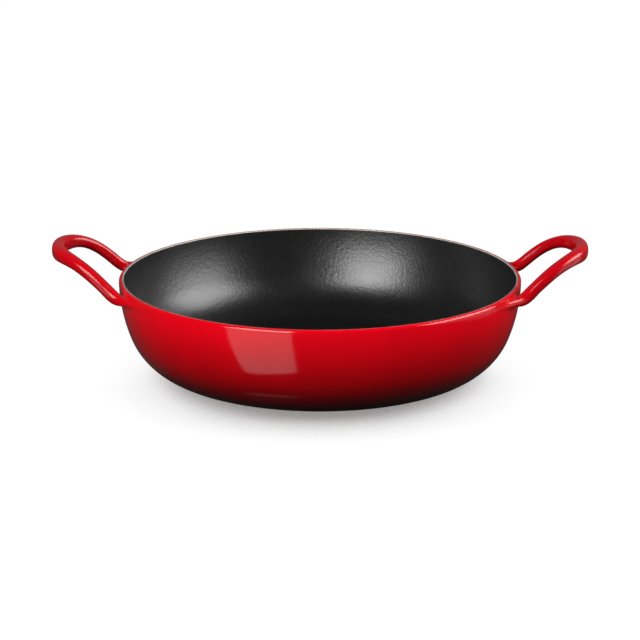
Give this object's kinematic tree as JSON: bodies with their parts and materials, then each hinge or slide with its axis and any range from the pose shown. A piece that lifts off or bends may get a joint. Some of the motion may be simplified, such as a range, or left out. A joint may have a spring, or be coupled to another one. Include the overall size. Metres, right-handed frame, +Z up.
{
  "type": "two-handled cast iron pan",
  "caption": "Shallow round cast iron pan, red enamel outside and satin black inside, with a raised loop handle on each side and no lid.",
  "frame": {"origin": "under the middle of the bowl, on the surface that the pan stands on", "axes": "+Z up along the axis of the bowl, +X towards the right-hand handle, -Y towards the front"},
  "size_m": [0.3272, 0.246, 0.0807],
  "materials": {
    "iron": "cast iron, covered by enamel",
    "red_enamel": "gloss red vitreous enamel, darker towards the base",
    "black_enamel": "satin black vitreous enamel with a fine grain",
    "ground_coat": "thin grey ground coat, satin",
    "base_enamel": "dark red-black enamel, satin"
  },
  "bodies": {
    "root": {"bowl_casting": "iron", "left_handle_casting": "iron", "right_handle_casting": "iron", "bowl_outer_enamel": "red_enamel", "left_handle_enamel": "red_enamel", "right_handle_enamel": "red_enamel", "bowl_inner_enamel": "black_enamel", "rim_ground_coat": "ground_coat", "base_enamel": "base_enamel"}
  },
  "joints": []
}
